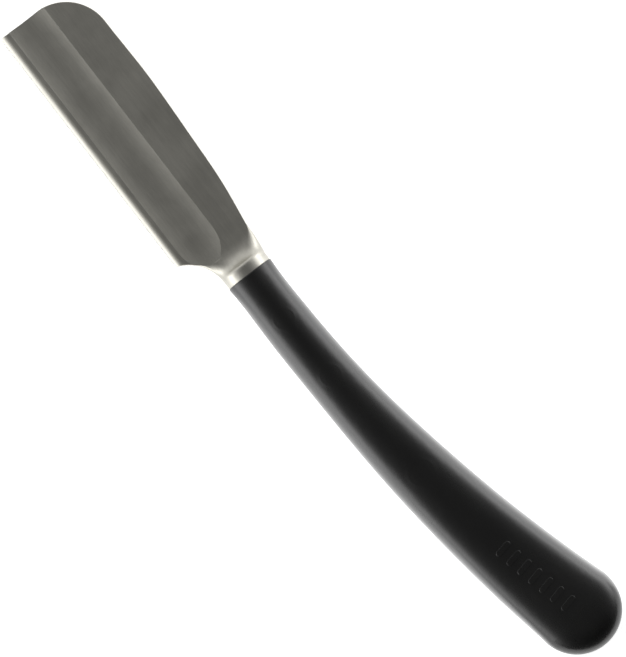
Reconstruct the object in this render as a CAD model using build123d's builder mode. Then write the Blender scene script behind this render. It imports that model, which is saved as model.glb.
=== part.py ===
"""Hair-styling razor: a steel blade holder on a curved hollow handle, lying on its side.

The holder is two mirrored half-thickness cheeks that meet on the razor's mid plane.
Between them a backed blade slides in from the tip, a bowed leaf spring grips its back,
and a flat tang carries the load into the two moulded handle shells.

Every piece is drawn from one working plane, `mid`: the razor's mid plane, with x from
the tip end towards the handle end, y from the lip towards the spine, and z outwards.
The part's own origin is under the middle of its box, on the surface it lies on.
"""

import os
from math import asin, atan2, cos, degrees, sin, sqrt

from build123d import *

os.makedirs("parts", exist_ok=True)

# Whole razor
overall_length = 187.1
edge_show = 1.0            # how far the cutting edge stands out of the lip

# Holder, seen from the side
heel_x = 63.7              # length of the straight lip, from tip end to heel corner
tip_end_height = 9.1       # straight part of the tip end, below its round corner
tip_corner_radius = 10.87
face_height = 1.9          # half the holder's thickness
edge_break = 0.1
tolerance = 0.001          # a flat narrower than this is left out

# Lip, whose faces roll over towards the blade
lip_reach = 0.83           # how far the rolled lip stands out of the line y = 0
lip_corner = 0.45          # bevel on the lip's corners at the tip end and the heel
roll_start = 0.95          # height above y = 0 where the face starts to roll over
roll_radius = 2.4

# Hollow ground into each face of the holder
hollow_low = 1.45
hollow_high = 11.0
hollow_depth = 0.6
hollow_run_out_x = 61.2    # where the hollow starts to come up to the face
hollow_run_out_radius = 40.0
hollow_run_out_angle = 9.6

# Neck, where the flat holder turns into the round ring the handle butts against
axis_y = 11.07             # height of the handle's axis above the lip, at the mouth
neck_x = 65.2              # where the holder's edges start to round off
flare_x = 66.9             # where its faces start to rise
ring_x = 72.7
mouth_x = 74.45
ring_half_width = 5.6
ring_half_height = 5.05
ring_round = 1.2           # rounding of the ring's front corner
round_side = 0.56          # fullness of the neck's rounded sides, nearly elliptical
heel_arc_radius = 9.9
spine_points = [(24.0, 20.2), (42.0, 19.52), (56.0, 18.62)]
spine_slope = -0.15        # of the spine where the neck starts
spine_at_neck = 17.3       # height of the spine where the neck starts
spigot_length = 5.0
spigot_half_width = 4.0
spigot_half_height = 3.5

# Blade with its folded steel back, and the room for it between the cheeks
blade_start_x = 1.0
blade_length = 61.5
blade_thickness = 0.3
blade_height = 10.4        # cutting edge to the blade's upper edge
bevel_height = 0.9
back_low = 5.8
back_high = 9.7
back_thickness = 1.0
fold_radius = 0.3          # rounding of the back's folded edge
blade_play = 0.1           # clearance on each side of the blade and of its back
blade_end_gap = 0.3        # room past the blade's inner end

# Leaf spring above the blade's back
spring_x = 32.0
spring_length = 23.0
spring_rise = 2.2
spring_thickness = 0.3
spring_gap = 0.04
spring_end_gap = 0.5       # room past each end of the spring

# Tang and pins
tang_start_x = 68.6
tang_end_x = 110.0
tang_width = 6.0
tang_half_thickness = 1.0
fit_gap = 0.02             # radial or face clearance of pins, dowels and tang
dowel_radius = 0.75
dowel_half_length = 1.0
dowel_places = [(12.0, 15.6), (33.0, 16.3), (57.0, 15.0)]
neck_pin_x = 71.4
neck_pin_radius = 1.0
neck_pin_half_length = 3.0
tang_pin_radius = 1.25
tang_pin_half_length = 3.6
tang_pin_xs = [87.0, 103.0]
tang_pin_end_gap = 0.1     # room past each end of a tang pin

# Handle: straight at the mouth, then bent on one arc up to the centre of its round end
bend_start_x = 82.0
bend_radius = 380.0
end_radius = 10.2
wall = 1.6
seam = 0.15                # bevel on the shells' parting edges and mouth
# Distance along x, half width, half thickness, and fullness of the section's corners
stations = [
    (mouth_x, 5.75, 5.3, 0.59),
    (86.0, 5.75, 5.4, 0.60),
    (98.0, 5.95, 5.6, 0.62),
    (112.0, 6.45, 6.0, 0.665),
    (126.0, 7.25, 6.5, 0.70),
    (140.0, 8.0, 6.9, 0.745),
    (154.0, 8.8, 7.24, 0.785),
    (166.0, 9.5, 7.47, 0.82),
    (173.0, 9.9, 7.57, 0.84),
    (overall_length - end_radius, end_radius, 7.6, 0.84),
]
boss_radius = 2.4
post_radius = 1.5
post_reach = 2.5           # how far a post stands into its socket
post_root = 1.0            # how far it is set into its own column
post_xs = [132.0, 168.0]
socket_radius = 3.0
socket_end_gap = 0.2       # room past the end of a post
column_gap = 0.05          # between the parting plane and the post and socket columns
rib_xs = [95.0, 118.0, 146.0]
rib_thickness = 1.2
rib_side_gap = 0.5         # room at each side of the tang
rib_face_gap = 0.3         # room over each face of the tang

# Row of raised grip pips on the front shell
pip_count = 7
pip_first_x = 156.0
pip_pitch = 3.0
pip_width = 1.3
pip_length = 4.0
pip_proud = 0.25
pip_root = 1.5             # how far a pip is set into the shell


def axis_rise(x):
    """Height of the handle's axis above the lip at x."""
    run = max(0.0, x - bend_start_x)
    return axis_y + bend_radius - sqrt(bend_radius**2 - run**2)


def axis_turn(x):
    """Direction of the handle's axis at x, as an angle from the lip, in radians."""
    return asin(max(0.0, x - bend_start_x) / bend_radius)


def on_axis(xs):
    """Places on the handle's axis."""
    return [(x, axis_rise(x)) for x in xs]


end_x, end_half_width, end_half_height, end_fullness = stations[-1]
end_y = axis_rise(end_x)
top_y = end_y + end_radius

mid = Plane(origin=(-overall_length / 2, (edge_show - top_y) / 2, end_half_height))


def across(x, y=0.0, turn=0.0):
    """Plane across the razor at x, with its own x towards the spine and y outwards."""
    return Plane(
        origin=mid.from_local_coords((x, y, 0)),
        x_dir=(-sin(turn), cos(turn), 0),
        z_dir=(cos(turn), sin(turn), 0),
    )


def across_handle(x):
    """Plane square to the handle's axis at x."""
    return across(x, axis_rise(x), axis_turn(x))


def half_section(plane, low, high, corner, height, fullness, wall_height=0.0):
    """Half section, from low to high: flat on top between two rounded sides.

    Each side is `corner` wide and stands on a plain wall, if it has one. A fullness of
    0.55 makes it a quarter ellipse, and a larger one makes it squarer.
    """
    reach = fullness * corner
    knee = wall_height + fullness * (height - wall_height)
    low_top = (low + corner, height)
    high_top = (high - corner, height)
    with BuildSketch(plane) as section:
        with BuildLine():
            Bezier((low, wall_height), (low, knee), (low + corner - reach, height), low_top)
            if high - low > 2 * corner + tolerance:
                Line(low_top, high_top)
            Bezier(high_top, (high - corner + reach, height), (high, knee), (high, wall_height))
            if wall_height:
                Line((high, wall_height), (high, 0))
                Line((low, 0), (low, wall_height))
            Line((high, 0), (low, 0))
        make_face()
    return section.sketch


# ---------------------------------------------------------------- holder cheeks


def heel_rise(x):
    """Lower outline of the heel and neck: one arc that ends level at the ring."""
    tangent_x = heel_x + sqrt(heel_arc_radius**2 - (heel_arc_radius - ring_low) ** 2)
    run = min(0.0, x - tangent_x)
    return ring_low - heel_arc_radius + sqrt(heel_arc_radius**2 - run**2)


def spine_fall(x):
    """Upper outline of the neck, falling away to the ring."""
    part_done = (x - neck_x) / (ring_x - neck_x)
    return spine_at_neck - (spine_at_neck - ring_high) * part_done**2


def neck_height(x):
    """Half thickness of the neck: a hollow arc up from the flat face, rounded at the ring."""
    if x > round_x:
        return ring_half_height - ring_round + sqrt(ring_round**2 - (ring_x - x) ** 2)
    return face_height + flare_radius - sqrt(flare_radius**2 - max(0.0, x - flare_x) ** 2)


def neck_section(x):
    """Half section of the neck, whose sides grow rounder from the flat holder to the ring."""
    part_done = min(1.0, (x - neck_x) / (round_x - neck_x))
    eased = part_done**2 * (3 - 2 * part_done)
    corner = edge_break + (ring_corner - edge_break) * eased
    height = neck_height(x)
    wall_height = ring_land + (height - edge_break - ring_land) * (1 - part_done) ** 2
    return half_section(
        across(x), heel_rise(x), spine_fall(x), corner, height, round_side, wall_height
    )


ring_low = axis_y - ring_half_width
ring_high = axis_y + ring_half_width
ring_corner = ring_half_width - 0.15
ring_land = 0.05           # plain wall left beside the parting line at the ring
flare_run = ring_x - flare_x
flare_rise = ring_half_height - face_height
flare_radius = (flare_run**2 + flare_rise**2) / (2 * flare_rise) - ring_round
round_x = flare_x + flare_radius * sin(2 * atan2(flare_rise, flare_run))
hollow_floor = face_height - hollow_depth
overcut = 1.0              # how far a cutter stands out of the piece it cuts
slot_length = blade_start_x + blade_length + blade_end_gap + overcut


def neck_sections(start, end, steps):
    """Evenly spaced sections of the neck."""
    return [neck_section(start + (end - start) * step / steps) for step in range(steps + 1)]


def hollow_section(x):
    """Section of the cutter for the hollow at x: one shallow arc between its two edges."""
    with BuildSketch(across(x)) as section:
        with BuildLine():
            floor_arc = ThreePointArc(
                (hollow_low, face_height),
                ((hollow_low + hollow_high) / 2, hollow_floor),
                (hollow_high, face_height),
            )
            Polyline(
                floor_arc @ 1,
                (hollow_high, face_height + overcut),
                (hollow_low, face_height + overcut),
                floor_arc @ 0,
            )
        make_face()
    return section.sketch


def roll_section():
    """Section of the cutter that rolls the lip's face over towards the blade."""
    roll_turn = degrees(asin((roll_start + lip_reach) / roll_radius))
    with BuildSketch(across(-overcut)) as section:
        with BuildLine():
            roll = CenterArc((roll_start, face_height - roll_radius), roll_radius, 90, roll_turn)
            Polyline(
                roll @ 1,
                (-lip_reach - overcut, (roll @ 1).Y),
                (-lip_reach - overcut, face_height + overcut),
                (roll_start, face_height + overcut),
                roll @ 0,
            )
        make_face()
    return section.sketch


with BuildPart() as front_cheek:
    # Flat holder, up to the neck
    with BuildSketch(mid):
        with BuildLine():
            tip_end = Line((0, lip_corner - lip_reach), (0, tip_end_height))
            corner = CenterArc((tip_corner_radius, tip_end_height), tip_corner_radius, 180, -90)
            spine = Spline(
                corner @ 1,
                *spine_points,
                (neck_x, spine_at_neck),
                tangents=[(1, 0), (1, spine_slope)],
            )
            neck_line = Line(spine @ 1, (neck_x, heel_rise(neck_x)))
            heel_mid_x = (heel_x + neck_x) / 2
            heel = ThreePointArc(
                neck_line @ 1,
                (heel_mid_x, heel_rise(heel_mid_x)),
                (heel_x, 0),
            )
            Polyline(
                heel @ 1,
                (heel_x - lip_corner, -lip_reach),
                (lip_corner, -lip_reach),
                tip_end @ 0,
            )
        make_face()
    extrude(amount=face_height)
    rim = front_cheek.edges().group_by(Axis.Z)[-1].sort_by(Axis.X)[:-1]
    chamfer(rim, edge_break)

    # Neck, ring and the spigot that centres the handle
    loft(neck_sections(neck_x, round_x, 12))
    loft(neck_sections(round_x, ring_x, 5))
    extrude(neck_section(ring_x), amount=mouth_x - ring_x)
    spigot = half_section(
        across(mouth_x),
        axis_y - spigot_half_width,
        axis_y + spigot_half_width,
        spigot_half_width,
        spigot_half_height,
        round_side,
    )
    extrude(spigot, amount=spigot_length)

    # Rolled lip
    extrude(roll_section(), amount=heel_x + 3 * overcut, mode=Mode.SUBTRACT)

    # Hollow in the face, running out before the neck
    extrude(hollow_section(0), amount=hollow_run_out_x, mode=Mode.SUBTRACT)
    run_out_centre = mid.from_local_coords(
        (hollow_run_out_x, 0, hollow_floor + hollow_run_out_radius)
    )
    revolve(
        hollow_section(hollow_run_out_x),
        axis=Axis(run_out_centre, (0, -1, 0)),
        revolution_arc=hollow_run_out_angle,
        mode=Mode.SUBTRACT,
    )

    # Room for the blade, its back, and the spring above it
    with BuildSketch(mid):
        with Locations((-overcut, -overcut)):
            Rectangle(slot_length, back_low - blade_play + overcut, align=(Align.MIN, Align.MIN))
    extrude(amount=blade_thickness / 2 + blade_play, mode=Mode.SUBTRACT)
    with BuildSketch(mid):
        with Locations((-overcut, back_low - blade_play)):
            Rectangle(
                slot_length,
                back_high - back_low + 2 * blade_play,
                align=(Align.MIN, Align.MIN),
            )
        with Locations((spring_x, back_high)):
            Rectangle(
                spring_length + 2 * spring_end_gap,
                spring_gap + spring_rise + 2 * spring_thickness,
                align=(Align.CENTER, Align.MIN),
            )
    extrude(amount=back_thickness / 2 + blade_play, mode=Mode.SUBTRACT)

    # Seats of the dowels, the tang and the neck pin
    with BuildSketch(mid):
        with Locations(*dowel_places):
            Circle(dowel_radius + fit_gap)
    extrude(amount=dowel_half_length + fit_gap, mode=Mode.SUBTRACT)
    with BuildSketch(mid):
        with Locations((tang_start_x - fit_gap, axis_y)):
            Rectangle(
                mouth_x + spigot_length - tang_start_x + overcut,
                tang_width + 2 * fit_gap,
                align=(Align.MIN, Align.CENTER),
            )
    extrude(amount=tang_half_thickness + fit_gap, mode=Mode.SUBTRACT)
    with BuildSketch(mid):
        with Locations((neck_pin_x, axis_y)):
            Circle(neck_pin_radius + fit_gap)
    extrude(amount=neck_pin_half_length + fit_gap, mode=Mode.SUBTRACT)

with BuildPart() as rear_cheek:
    mirror(front_cheek.part, about=mid)

# ---------------------------------------------------------------- blade


with BuildPart() as blade:
    half = blade_thickness / 2
    with BuildSketch(across(blade_start_x)):
        with BuildLine():
            Polyline(
                (-edge_show, 0),
                (bevel_height - edge_show, half),
                (blade_height - edge_show, half),
                (blade_height - edge_show, -half),
                (bevel_height - edge_show, -half),
                (-edge_show, 0),
            )
        make_face()
    extrude(amount=blade_length)

with BuildPart() as blade_backing:
    with BuildSketch(across(blade_start_x)):
        with Locations(((back_low + back_high) / 2, 0)):
            Rectangle(back_high - back_low, back_thickness)
        with Locations((back_low, 0)):
            Rectangle(
                2 * (blade_height - edge_show - back_low),
                blade_thickness,
                mode=Mode.SUBTRACT,
            )
    extrude(amount=blade_length)
    fold_edges = blade_backing.edges().filter_by(Axis.X).group_by(Axis.Y)[-1]
    fillet(fold_edges, fold_radius)

with BuildPart() as blade_spring:
    spring_low = back_high + spring_gap
    with BuildSketch(mid.offset(-back_thickness / 2)):
        with BuildLine():
            under = ThreePointArc(
                (spring_x - spring_length / 2, spring_low + spring_rise),
                (spring_x, spring_low),
                (spring_x + spring_length / 2, spring_low + spring_rise),
            )
            over = ThreePointArc(
                (spring_x - spring_length / 2, spring_low + spring_rise + spring_thickness),
                (spring_x, spring_low + spring_thickness),
                (spring_x + spring_length / 2, spring_low + spring_rise + spring_thickness),
            )
            Line(under @ 0, over @ 0)
            Line(under @ 1, over @ 1)
        make_face()
    extrude(amount=back_thickness)

# ---------------------------------------------------------------- tang, dowels and pins


with BuildPart() as tang:
    bend_centre = (bend_start_x, axis_y + bend_radius)
    tang_turn = degrees(axis_turn(tang_end_x))
    with BuildSketch(mid.offset(-tang_half_thickness)):
        with BuildLine():
            low_bend = CenterArc(bend_centre, bend_radius + tang_width / 2, 270, tang_turn)
            high_bend = CenterArc(bend_centre, bend_radius - tang_width / 2, 270, tang_turn)
            Line(low_bend @ 1, high_bend @ 1)
            Polyline(
                low_bend @ 0,
                (tang_start_x, axis_y - tang_width / 2),
                (tang_start_x, axis_y + tang_width / 2),
                high_bend @ 0,
            )
        make_face()
        with Locations((neck_pin_x, axis_y)):
            Circle(neck_pin_radius + fit_gap, mode=Mode.SUBTRACT)
        with Locations(*on_axis(tang_pin_xs)):
            Circle(tang_pin_radius + fit_gap, mode=Mode.SUBTRACT)
    extrude(amount=2 * tang_half_thickness)

with BuildPart() as cheek_dowels:
    with BuildSketch(mid.offset(-dowel_half_length)):
        with Locations(*dowel_places):
            Circle(dowel_radius)
    extrude(amount=2 * dowel_half_length)

with BuildPart() as neck_pin:
    with BuildSketch(mid.offset(-neck_pin_half_length)):
        with Locations((neck_pin_x, axis_y)):
            Circle(neck_pin_radius)
    extrude(amount=2 * neck_pin_half_length)

with BuildPart() as tang_pins:
    with BuildSketch(mid.offset(-tang_pin_half_length)):
        with Locations(*on_axis(tang_pin_xs)):
            Circle(tang_pin_radius)
    extrude(amount=2 * tang_pin_half_length)

# ---------------------------------------------------------------- handle shells


def handle_half(inset):
    """Front half of the handle's outer form, or of its hollow when inset by the wall."""
    with BuildPart() as half_form:
        sections = []
        for x, half_width, half_height, fullness in stations:
            w = half_width - inset
            h = half_height - inset
            sections.append(half_section(across_handle(x), -w, w, w, h, fullness))
        loft(sections)
        w = end_half_width - inset
        h = end_half_height - inset
        with BuildSketch(across_handle(end_x)):
            with BuildLine():
                Bezier((0, h), (end_fullness * w, h), (w, end_fullness * h), (w, 0))
                Polyline((w, 0), (0, 0), (0, h))
            make_face()
        end_axis = Axis(mid.from_local_coords((end_x, end_y, 0)), (0, 0, -1))
        revolve(axis=end_axis, revolution_arc=180)
    return half_form.part


outer_form = handle_half(0.0)
hollow_form = handle_half(wall)

outer_width = 2 * end_radius
inside_reach = end_half_height + overcut


def inner_columns(places, radius, start):
    """Round columns from a height above the mid plane out into the front shell's wall."""
    with BuildPart() as columns:
        with BuildSketch(mid.offset(start)):
            with Locations(*places):
                Circle(radius)
        extrude(amount=inside_reach - start)
        add(outer_form, mode=Mode.INTERSECT)
    return columns.part


def blind_holes(places, radius, depth):
    """Cutters for round blind holes that open towards the mid plane."""
    with BuildPart() as holes:
        with BuildSketch(mid.offset(-overcut)):
            with Locations(*places):
                Circle(radius)
        extrude(amount=depth + overcut)
    return holes.part


def cross_ribs():
    """Ribs across the front shell's hollow that stop short of the tang."""
    with BuildPart() as ribs:
        for x in rib_xs:
            with BuildSketch(across_handle(x)):
                Rectangle(outer_width, 2 * inside_reach)
                Rectangle(
                    tang_width + 2 * rib_side_gap,
                    2 * (tang_half_thickness + rib_face_gap),
                    mode=Mode.SUBTRACT,
                )
            extrude(amount=rib_thickness)
        add(hollow_form, mode=Mode.INTERSECT)
    return ribs.part


def grip_pips():
    """Row of raised slots along the handle's axis, following the shell's curved top."""
    with BuildPart() as pips:
        for index in range(pip_count):
            x = pip_first_x + index * pip_pitch
            with BuildSketch(mid.offset(end_half_height - pip_root)):
                with Locations(Location((x, axis_rise(x)), degrees(axis_turn(x)))):
                    SlotOverall(pip_length, pip_width, rotation=90)
            extrude(amount=pip_root + pip_proud)
        add(handle_half(-pip_proud), mode=Mode.INTERSECT)
    return pips.part


with BuildPart() as shell_blank:
    add(outer_form)
    parting_edges = shell_blank.edges().group_by(Axis.Z)[0]
    mouth_edges = shell_blank.edges().group_by(Axis.X)[0]
    straight_mouth_edge = mouth_edges.sort_by(Axis.Z)[0]
    chamfer((parting_edges + mouth_edges).filter_by(lambda edge: edge != straight_mouth_edge), seam)
    add(hollow_form, mode=Mode.SUBTRACT)
    add(cross_ribs())
    tang_bosses = inner_columns(on_axis(tang_pin_xs), boss_radius, tang_half_thickness + fit_gap)
    add(tang_bosses)
    pin_holes = blind_holes(
        on_axis(tang_pin_xs), tang_pin_radius + fit_gap, tang_pin_half_length + tang_pin_end_gap
    )
    add(pin_holes, mode=Mode.SUBTRACT)

with BuildPart() as front_handle_shell:
    add(shell_blank.part)
    add(inner_columns(on_axis(post_xs), socket_radius, column_gap))
    with BuildSketch(mid.offset(-post_reach)):
        with Locations(*on_axis(post_xs)):
            Circle(post_radius)
    extrude(amount=post_reach + post_root)
    add(grip_pips())

with BuildPart() as sockets:
    add(inner_columns(on_axis(post_xs), socket_radius, column_gap))
    socket_holes = blind_holes(
        on_axis(post_xs), post_radius + fit_gap, post_reach + socket_end_gap
    )
    add(socket_holes, mode=Mode.SUBTRACT)

with BuildPart() as rear_handle_shell:
    mirror(shell_blank.part, about=mid)
    mirror(sockets.part, about=mid)

pieces = {
    "front_cheek": front_cheek,
    "rear_cheek": rear_cheek,
    "blade": blade,
    "blade_backing": blade_backing,
    "blade_spring": blade_spring,
    "tang": tang,
    "cheek_dowels": cheek_dowels,
    "neck_pin": neck_pin,
    "tang_pins": tang_pins,
    "front_handle_shell": front_handle_shell,
    "rear_handle_shell": rear_handle_shell,
}
for name, piece in pieces.items():
    piece.part.label = name
    export_step(piece.part, f"parts/{name}.step")
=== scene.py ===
"""Looks of the hair-styling razor: camera, soft studio light, floor and materials.

Everything is in metres, in the CAD's own frame: +X from the holder's tip end to the
handle's round end, +Y from the cutting edge to the spine, +Z out of the front face.
"""

import math

import bpy
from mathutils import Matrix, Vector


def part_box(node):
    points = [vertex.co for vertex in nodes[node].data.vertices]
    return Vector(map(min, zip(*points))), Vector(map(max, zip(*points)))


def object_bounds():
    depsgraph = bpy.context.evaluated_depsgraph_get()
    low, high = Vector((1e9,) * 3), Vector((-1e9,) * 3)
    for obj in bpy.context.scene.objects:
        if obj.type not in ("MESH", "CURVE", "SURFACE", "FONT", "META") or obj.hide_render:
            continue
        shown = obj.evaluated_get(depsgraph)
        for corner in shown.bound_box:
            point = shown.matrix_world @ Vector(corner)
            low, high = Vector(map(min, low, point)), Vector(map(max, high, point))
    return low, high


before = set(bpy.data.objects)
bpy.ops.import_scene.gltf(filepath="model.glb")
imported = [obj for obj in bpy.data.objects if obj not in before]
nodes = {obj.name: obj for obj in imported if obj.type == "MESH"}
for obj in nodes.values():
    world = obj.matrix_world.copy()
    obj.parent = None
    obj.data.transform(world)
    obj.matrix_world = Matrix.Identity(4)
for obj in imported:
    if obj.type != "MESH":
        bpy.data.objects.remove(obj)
cad_low, cad_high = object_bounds()
MM = 0.001

# ---------------------------------------------------------------- camera

VIEW_ROLL = math.radians(52.38)    # the razor lies across the picture at this angle
VIEW_SPAN = 145.35 * MM            # what the picture's long side shows at the mid plane
VIEW_SHIFT = (-1.0 * MM, -1.325 * MM)
LENS = 135.0
SENSOR = 36.0


def add_camera():
    """Camera straight above the razor, with a long lens."""
    camera_data = bpy.data.cameras.new("camera")
    camera_data.lens = LENS
    camera_data.sensor_width = SENSOR
    camera_data.clip_start = 0.01
    camera_data.clip_end = 50.0
    camera = bpy.data.objects.new("camera", camera_data)
    bpy.context.scene.collection.objects.link(camera)
    mid_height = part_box("front_cheek")[0].z
    centre = (cad_low + cad_high) / 2
    distance = VIEW_SPAN / 2 * LENS / (SENSOR / 2)
    camera.location = (
        centre.x + VIEW_SHIFT[0],
        centre.y + VIEW_SHIFT[1],
        mid_height + distance,
    )
    camera.rotation_euler = (0.0, 0.0, VIEW_ROLL)
    bpy.context.scene.camera = camera


# ---------------------------------------------------------------- node helpers


class Shader:
    """Short hand for building a node tree."""

    def __init__(self, tree):
        self.tree = tree
        tree.nodes.clear()

    def node(self, kind, inputs=None, **settings):
        """New node whose inputs are values, or sockets to link from."""
        made = self.tree.nodes.new(kind)
        for name, value in settings.items():
            setattr(made, name, value)
        for name, value in (inputs or {}).items():
            socket = made.inputs[name]
            if isinstance(value, bpy.types.NodeSocket):
                self.tree.links.new(value, socket)
            else:
                socket.default_value = value
        return made

    def math(self, operation, *values):
        """Result of one math node."""
        made = self.node("ShaderNodeMath", dict(enumerate(values)), operation=operation)
        return made.outputs[0]

    def smooth(self, value, start, end, low, high):
        """Turns value from start to end into low to high, easing in and out."""
        sizes = {"From Min": start, "From Max": end, "To Min": low, "To Max": high}
        made = self.node(
            "ShaderNodeMapRange", {"Value": value, **sizes}, interpolation_type="SMOOTHSTEP"
        )
        return made.outputs["Result"]

    def ramp(self, value, stops, interpolation="LINEAR"):
        """Turns value into a grey level or colour, from stops of (value, colour)."""
        made = self.node("ShaderNodeValToRGB", {"Fac": value})
        ramp = made.color_ramp
        ramp.interpolation = interpolation
        while len(ramp.elements) < len(stops):
            ramp.elements.new(0.5)
        for element, (position, colour) in zip(ramp.elements, stops):
            element.position = position
            if not isinstance(colour, tuple):
                colour = (colour, colour, colour)
            element.color = (*colour, 1.0)
        return made.outputs["Color"]


# ---------------------------------------------------------------- light and floor

SKY_STRENGTH = 2.6
DARK_LEAN = math.radians(1.5)    # how far the dark overhead patch leans to the spine side
# Brightness against the cosine of the angle from the middle of the dark patch
SKY_BY_HEIGHT = [
    (0.0, 1.0),
    (0.156, 1.0),
    (0.3, 0.95),
    (0.407, 0.84),
    (0.5, 0.6),
    (0.6, 0.37),
    (0.743, 0.16),
    (0.857, 0.096),
    (0.94, 0.068),
    (1.0, 0.043),
]
# Brightness from the tip end's side, at 0, to the round end's side, at 1
SKY_ALONG = [
    (0.0, 0.29),
    (0.2, 0.47),
    (0.375, 1.0),
    (0.5, 0.97),
    (0.58, 0.84),
    (0.65, 0.6),
    (0.75, 0.2),
    (0.85, 0.045),
    (1.0, 0.035),
]

FLOOR_HALF_SIZE = 1.5
FLOOR_GAP = 0.02 * MM            # keeps the floor just clear of the bulb
FLOOR_COLOUR = (0.8, 0.8, 0.8, 1.0)
# Painted light: the floor glows, brightest beside the handle and dimmer beside the holder and
# past the round end. This sets what the steel and plastic reflect there and hides the razor's
# shadow on the floor.
FLOOR_GLOW = 2.1                 # beside the handle
HOLDER_FLOOR_GLOW = 0.78         # beside the holder
END_FLOOR_GLOW = 0.75            # past the round end


def light_world():
    """Soft light from both long sides, dark overhead and past the round end."""
    world = bpy.data.worlds.new("studio")
    bpy.context.scene.world = world
    world.use_nodes = True
    sh = Shader(world.node_tree)
    direction = sh.node("ShaderNodeTexCoord").outputs["Generated"]
    parts = sh.node("ShaderNodeSeparateXYZ", {0: direction})
    dark_centre = (0.0, math.sin(DARK_LEAN), math.cos(DARK_LEAN))
    height = sh.node(
        "ShaderNodeVectorMath", {0: direction, 1: dark_centre}, operation="DOT_PRODUCT"
    ).outputs["Value"]
    glow = sh.ramp(height, SKY_BY_HEIGHT)
    along = sh.math("MULTIPLY_ADD", parts.outputs["X"], 0.5, 0.5)
    side = sh.ramp(along, SKY_ALONG, "EASE")
    strength = sh.math("MULTIPLY", side, SKY_STRENGTH)
    background = sh.node("ShaderNodeBackground", {"Color": glow, "Strength": strength})
    sh.node("ShaderNodeOutputWorld", {"Surface": background.outputs[0]})


def add_floor():
    """Plain pale floor under the razor that glows like a light table, with painted light:
    brightest beside the handle, dimmer beside the holder and past the round end.
    """
    size = FLOOR_HALF_SIZE
    mesh = bpy.data.meshes.new("floor")
    mesh.from_pydata(
        [(-size, -size, 0), (size, -size, 0), (size, size, 0), (-size, size, 0)],
        [],
        [(0, 1, 2, 3)],
    )
    floor = bpy.data.objects.new("floor", mesh)
    bpy.context.scene.collection.objects.link(floor)
    floor.location.z = cad_low.z - FLOOR_GAP
    material = bpy.data.materials.new("floor")
    material.use_nodes = True
    sh = Shader(material.node_tree)
    place = sh.node("ShaderNodeTexCoord").outputs["Object"]
    along = sh.node("ShaderNodeSeparateXYZ", {0: place}).outputs["X"]
    mouth_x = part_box("front_handle_shell")[0].x
    # Painted light: the floor's glow is set by its place along X, dimmed beside the holder and
    # past the round end.
    to_handle = sh.smooth(
        along, mouth_x - 3 * MM, mouth_x + 7 * MM, HOLDER_FLOOR_GLOW, FLOOR_GLOW
    )
    to_end = sh.smooth(
        along, cad_high.x - 11 * MM, cad_high.x + MM, 0.0, END_FLOOR_GLOW - FLOOR_GLOW
    )
    glow = sh.math("ADD", to_handle, to_end)
    card = sh.node("ShaderNodeBsdfDiffuse", {"Color": FLOOR_COLOUR})
    light = sh.node("ShaderNodeEmission", {"Color": (1.0, 1.0, 1.0, 1.0), "Strength": glow})
    both = sh.node("ShaderNodeAddShader", {0: card.outputs[0], 1: light.outputs[0]})
    sh.node("ShaderNodeOutputMaterial", {"Surface": both.outputs[0]})
    mesh.materials.append(material)


# ---------------------------------------------------------------- materials

GRAIN_WAVES = (400.0, 12000.0, 12000.0)    # waves per metre: long lines along X
STEEL_EDGE = 0.1 * MM                      # edge rounding shown in the shading
HOLDER_COLOUR = (0.62, 0.605, 0.545)
HOLDER_ROUGHNESS = 0.38
RING_ROUGHNESS = 0.33
BLADE_COLOUR = (0.93, 0.93, 0.92)
BLADE_BEVEL = 0.9 * MM                     # height of the ground bevel above the edge
BEVEL_FADE = 0.05 * MM
PLASTIC_EDGE = 0.12 * MM
PLASTIC_DARK = (0.0017, 0.0017, 0.0014)
PLASTIC_WORN = (0.003, 0.003, 0.0025)


def new_material(name):
    """New empty material, with its shader to build in."""
    material = bpy.data.materials.new(name)
    material.use_nodes = True
    return material, Shader(material.node_tree)


def place_parts(sh):
    """The surface point's X, Y and Z in the CAD frame, in metres."""
    coordinates = sh.node("ShaderNodeTexCoord").outputs["Object"]
    return sh.node("ShaderNodeSeparateXYZ", {0: coordinates}).outputs


def noise(sh, per_metre, detail=3.0, roughness=0.5):
    """Noise with per_metre waves along X, Y and Z."""
    coordinates = sh.node("ShaderNodeTexCoord").outputs["Object"]
    stretched = sh.node(
        "ShaderNodeVectorMath", {0: coordinates, 1: per_metre}, operation="MULTIPLY"
    )
    made = sh.node(
        "ShaderNodeTexNoise",
        {"Vector": stretched.outputs[0], "Scale": 1.0, "Detail": detail, "Roughness": roughness},
    )
    return made.outputs[0]


def surface(sh, colour, metallic, roughness, normal, **settings):
    """Principled surface from the given colour, roughness and normal sockets."""
    shader = sh.node(
        "ShaderNodeBsdfPrincipled",
        {
            "Base Color": colour,
            "Metallic": metallic,
            "Roughness": roughness,
            "Normal": normal,
            **settings,
        },
    )
    sh.node("ShaderNodeOutputMaterial", {"Surface": shader.outputs[0]})


def soft_edges(sh, radius):
    """Normal that rounds the edges a little, as buffing and wear do."""
    return sh.node("ShaderNodeBevel", {"Radius": radius}, samples=6).outputs[0]


def bumped(sh, normal, height, strength, distance):
    """Normal with a height pattern added."""
    inputs = {"Height": height, "Strength": strength, "Distance": distance, "Normal": normal}
    return sh.node("ShaderNodeBump", inputs).outputs[0]


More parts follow.
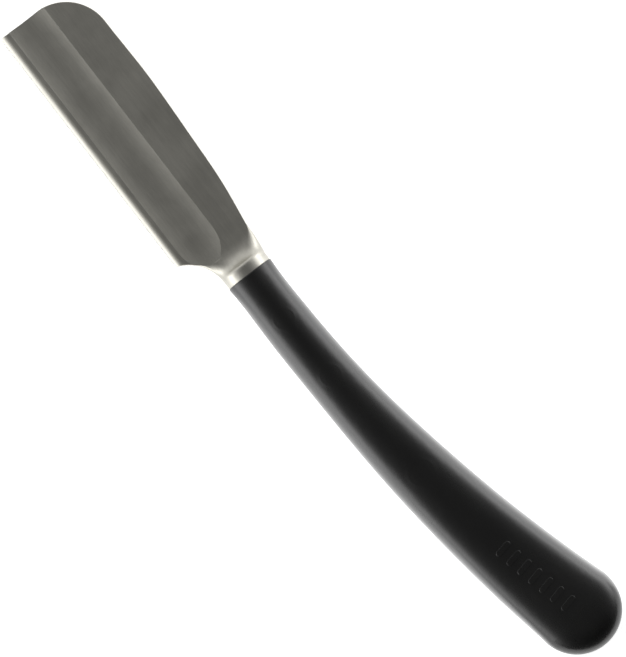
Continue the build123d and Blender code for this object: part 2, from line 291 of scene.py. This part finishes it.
def ground_steel(sh, colour, roughness, grain):
    """Colour, roughness and normal of steel that is ground lengthwise, with faint smudges."""
    lines = noise(sh, GRAIN_WAVES, 4.0, 0.65)
    bands = noise(sh, tuple(0.12 * waves for waves in GRAIN_WAVES), 3.0)
    smudge = noise(sh, (110.0, 110.0, 110.0), 5.0, 0.6)
    line_shade = sh.smooth(lines, 0.3, 0.7, 0.93, 1.06)
    band_shade = sh.smooth(bands, 0.3, 0.7, 0.97, 1.03)
    smudge_shade = sh.smooth(smudge, 0.35, 0.7, 0.975, 1.02)
    shade = sh.math("MULTIPLY", line_shade, band_shade)
    shade = sh.math("MULTIPLY", shade, smudge_shade)
    tinted = sh.node("ShaderNodeVectorMath", {0: colour, "Scale": shade}, operation="SCALE")
    rough = sh.smooth(smudge, 0.3, 0.7, roughness - 0.025, roughness + 0.03)
    normal = bumped(sh, soft_edges(sh, STEEL_EDGE), lines, grain, 0.01 * MM)
    return tinted.outputs[0], rough, normal


def holder_steel():
    """Satin ground holder whose neck and ring are polished."""
    material, sh = new_material("holder_steel")
    colour, rough, normal = ground_steel(sh, HOLDER_COLOUR, HOLDER_ROUGHNESS, 0.2)
    mouth_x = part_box("front_handle_shell")[0].x
    along = place_parts(sh)["X"]
    polish = sh.smooth(
        along, mouth_x - 5 * MM, mouth_x - 2 * MM, 0.0, RING_ROUGHNESS - HOLDER_ROUGHNESS
    )
    surface(sh, colour, 1.0, sh.math("ADD", rough, polish), normal)
    return material


def blade_steel():
    """Bright blade: polished sides and a finely ground bevel."""
    material, sh = new_material("blade_steel")
    colour, rough, normal = ground_steel(sh, BLADE_COLOUR, 0.3, 0.1)
    bevel_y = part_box("blade")[0].y + BLADE_BEVEL
    across = place_parts(sh)["Y"]
    bevel = sh.smooth(across, bevel_y - BEVEL_FADE, bevel_y + BEVEL_FADE, 0.25, 0.0)
    rougher = sh.math("ADD", rough, bevel)
    surface(sh, colour, 1.0, rougher, normal)
    return material


def plain_steel(name, colour, roughness, grain):
    """Steel of a piece inside the razor."""
    material, sh = new_material(name)
    surface_parts = ground_steel(sh, colour, roughness, grain)
    surface(sh, surface_parts[0], 1.0, *surface_parts[1:])
    return material


def black_plastic():
    """Black moulded plastic: fine eroded texture, faint waviness and handling smudges."""
    material, sh = new_material("handle_plastic")
    texture = noise(sh, (3500.0, 3500.0, 3500.0), 2.0)
    waves = noise(sh, (160.0, 320.0, 320.0), 2.0)
    wear = noise(sh, (45.0, 90.0, 90.0), 5.0, 0.6)
    colour = sh.ramp(wear, [(0.3, PLASTIC_DARK), (0.7, PLASTIC_WORN)])
    rough = sh.smooth(wear, 0.3, 0.7, 0.23, 0.3)
    normal = bumped(sh, soft_edges(sh, PLASTIC_EDGE), waves, 0.12, 0.1 * MM)
    normal = bumped(sh, normal, texture, 0.12, 0.01 * MM)
    surface(sh, colour, 0.0, rough, normal, IOR=1.75)
    return material


def finish_nodes():
    """Gives every CAD node its material."""
    holder = holder_steel()
    backing = plain_steel("backing_steel", (0.7, 0.69, 0.67), 0.38, 0.2)
    spring = plain_steel("spring_steel", (0.45, 0.45, 0.48), 0.3, 0.1)
    tang = plain_steel("tang_steel", (0.5, 0.5, 0.49), 0.5, 0.4)
    pins = plain_steel("pin_steel", (0.65, 0.65, 0.64), 0.25, 0.1)
    plastic = black_plastic()
    looks = {
        "front_cheek": holder,
        "rear_cheek": holder,
        "blade": blade_steel(),
        "blade_backing": backing,
        "blade_spring": spring,
        "tang": tang,
        "cheek_dowels": pins,
        "neck_pin": pins,
        "tang_pins": pins,
        "front_handle_shell": plastic,
        "rear_handle_shell": plastic,
    }
    for name, material in looks.items():
        node = nodes[name]
        node.data.materials.clear()
        node.data.materials.append(material)


bpy.context.scene.view_settings.view_transform = "Standard"
add_camera()
light_world()
add_floor()
finish_nodes()
